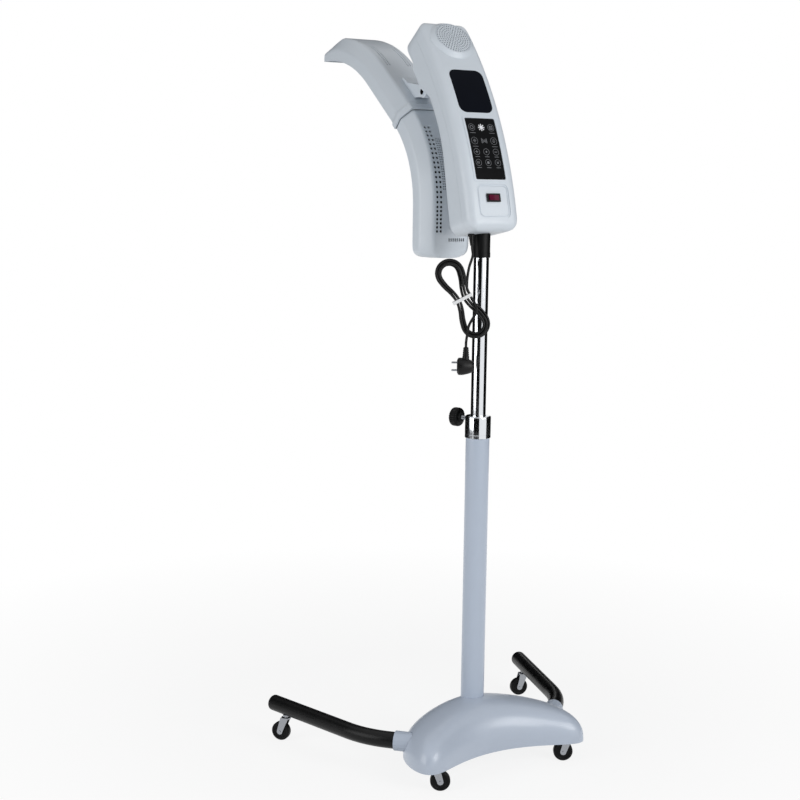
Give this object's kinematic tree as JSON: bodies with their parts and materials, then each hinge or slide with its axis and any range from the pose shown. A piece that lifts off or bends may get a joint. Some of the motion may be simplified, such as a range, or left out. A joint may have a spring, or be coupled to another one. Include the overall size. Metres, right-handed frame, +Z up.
{
  "type": "hair color processor",
  "caption": "Arched heating hood and control console on a height-adjustable column with a wheeled base, for speeding up hair colour.",
  "frame": {"origin": "on the floor under the middle of the object's footprint box, the cord left out", "axes": "+Z up; the console's control face looks to -Y and the hood reaches out to +Y"},
  "size_m": [0.8342, 0.8946, 1.8846],
  "materials": {
    "white_plastic": "satin moulded",
    "base_plastic": "satin moulded",
    "base_paint": "semi-gloss powder coat",
    "black_paint": "satin powder coat",
    "black_plastic": "satin",
    "cord_rubber": "satin",
    "plated": "polished plate",
    "zinc_steel": "zinc plated",
    "bright_sheet": "bright rolled",
    "screen": "gloss",
    "key_film": "semi-gloss film",
    "rocker_red": "gloss",
    "board": "board resin",
    "supply_case": "matte",
    "quartz": "frosted quartz",
    "tie_white": "matte"
  },
  "bodies": {
    "stand": {"base_shell": "base_plastic", "base_frame": "base_paint", "leg_left": "black_paint", "leg_right": "black_paint", "leg_cap_left": "black_plastic", "leg_cap_right": "black_plastic", "column_tube": "base_paint", "column_bolt": "zinc_steel", "guide_bush": "black_plastic", "column_collar": "plated", "castor_stem_front_left": "zinc_steel", "castor_stem_front_right": "zinc_steel", "castor_stem_rear_left": "zinc_steel", "castor_stem_rear_right": "zinc_steel"},
    "clamp_screw_body": {"clamp_screw": "zinc_steel"},
    "clamp_knob_body": {"clamp_knob": "black_plastic"},
    "post": {"post_tube": "plated", "post_foot_bush": "black_plastic"},
    "head": {"post_sleeve": "black_plastic", "console_front_cover": "white_plastic", "console_rear_cover": "white_plastic", "display_window": "screen", "key_panel": "key_film", "switch_plate": "white_plastic", "rocker_frame": "black_plastic", "fan_grille": "white_plastic", "fan_frame": "black_plastic", "console_chassis": "zinc_steel", "control_board": "board", "power_supply": "supply_case", "hinge_housing": "white_plastic", "hinge_pin": "plated", "cord_gland": "cord_rubber", "cord_lead": "cord_rubber", "cord_hank": "cord_rubber", "cord_tie": "tie_white", "cord_tail": "cord_rubber", "plug_body": "cord_rubber", "plug_pin_1": "plated", "plug_pin_2": "plated"},
    "fan": {"fan_rotor": "black_plastic"},
    "rocker": {"power_rocker": "rocker_red"},
    "hood": {"hood_lower_cover": "white_plastic", "hood_upper_cover": "white_plastic", "hood_arm": "white_plastic", "lower_reflector": "bright_sheet", "lower_heater": "quartz", "lower_guard": "plated", "upper_reflector": "bright_sheet", "upper_heater": "quartz", "upper_guard": "plated"},
    "fork_front_left": {"castor_fork_front_left": "zinc_steel"},
    "wheel_front_left": {"castor_wheel_front_left": "black_plastic"},
    "fork_front_right": {"castor_fork_front_right": "zinc_steel"},
    "wheel_front_right": {"castor_wheel_front_right": "black_plastic"},
    "fork_rear_left": {"castor_fork_rear_left": "zinc_steel"},
    "wheel_rear_left": {"castor_wheel_rear_left": "black_plastic"},
    "fork_rear_right": {"castor_fork_rear_right": "zinc_steel"},
    "wheel_rear_right": {"castor_wheel_rear_right": "black_plastic"}
  },
  "joints": [
    {"name": "swivel_front_left", "type": "hinge", "parent": "stand", "child": "fork_front_left", "pos_m": [-0.203, -0.4217, 0.06], "axis": [0, 0, 1], "continuous": true},
    {"name": "roll_front_left", "type": "hinge", "parent": "fork_front_left", "child": "wheel_front_left", "pos_m": [-0.19088, -0.4287, 0.025], "axis": [0.5, 0.866, 0], "continuous": true},
    {"name": "swivel_front_right", "type": "hinge", "parent": "stand", "child": "fork_front_right", "pos_m": [0.203, -0.4217, 0.06], "axis": [0, 0, 1], "continuous": true},
    {"name": "roll_front_right", "type": "hinge", "parent": "fork_front_right", "child": "wheel_front_right", "pos_m": [0.19088, -0.4147, 0.025], "axis": [-0.5, -0.866, 0], "continuous": true},
    {"name": "swivel_rear_left", "type": "hinge", "parent": "stand", "child": "fork_rear_left", "pos_m": [-0.38343, 0.04509, 0.06], "axis": [0, 0, 1], "continuous": true},
    {"name": "roll_rear_left", "type": "hinge", "parent": "fork_rear_left", "child": "wheel_rear_left", "pos_m": [-0.39243, 0.05582, 0.025], "axis": [-0.766, -0.6428, 0], "continuous": true},
    {"name": "swivel_rear_right", "type": "hinge", "parent": "stand", "child": "fork_rear_right", "pos_m": [0.38343, 0.04509, 0.06], "axis": [0, 0, 1], "continuous": true},
    {"name": "roll_rear_right", "type": "hinge", "parent": "fork_rear_right", "child": "wheel_rear_right", "pos_m": [0.36991, 0.04872, 0.025], "axis": [-0.2588, -0.9659, 0], "continuous": true},
    {"name": "clamp_screw_travel", "type": "slide", "parent": "stand", "child": "clamp_screw_body", "axis": [-0.3907, 0.9205, 0], "range_m": [0, 0.0061]},
    {"name": "clamp_knob_turn", "type": "hinge", "parent": "clamp_screw_body", "child": "clamp_knob_body", "pos_m": [-0.02579, -0.21094, 0.888], "axis": [-0.3907, 0.9205, 0], "range_deg": [0, 1440]},
    {"name": "post_slide", "type": "slide", "parent": "stand", "child": "post", "axis": [0, 0, 1], "range_m": [-0.36, 0.15]},
    {"name": "head_swivel", "type": "hinge", "parent": "post", "child": "head", "pos_m": [0, -0.2717, 1.4], "axis": [0, 0, 1], "continuous": true},
    {"name": "hood_tilt", "type": "hinge", "parent": "head", "child": "hood", "pos_m": [0, -0.03273, 1.71115], "axis": [1, 0, 0], "range_deg": [-8, 35]},
    {"name": "fan_spin", "type": "hinge", "parent": "head", "child": "fan", "pos_m": [0, -0.10682, 1.82899], "axis": [0, -0.7583, 0.6519], "continuous": true},
    {"name": "rocker_swing", "type": "hinge", "parent": "head", "child": "rocker", "pos_m": [0, -0.32012, 1.44407], "axis": [0, 0.2549, 0.967], "range_deg": [-14, 0]}
  ],
  "couplings": [
    {"joint": "clamp_screw_travel", "follows": "clamp_knob_turn", "m_per_rad": 0.00023873}
  ]
}
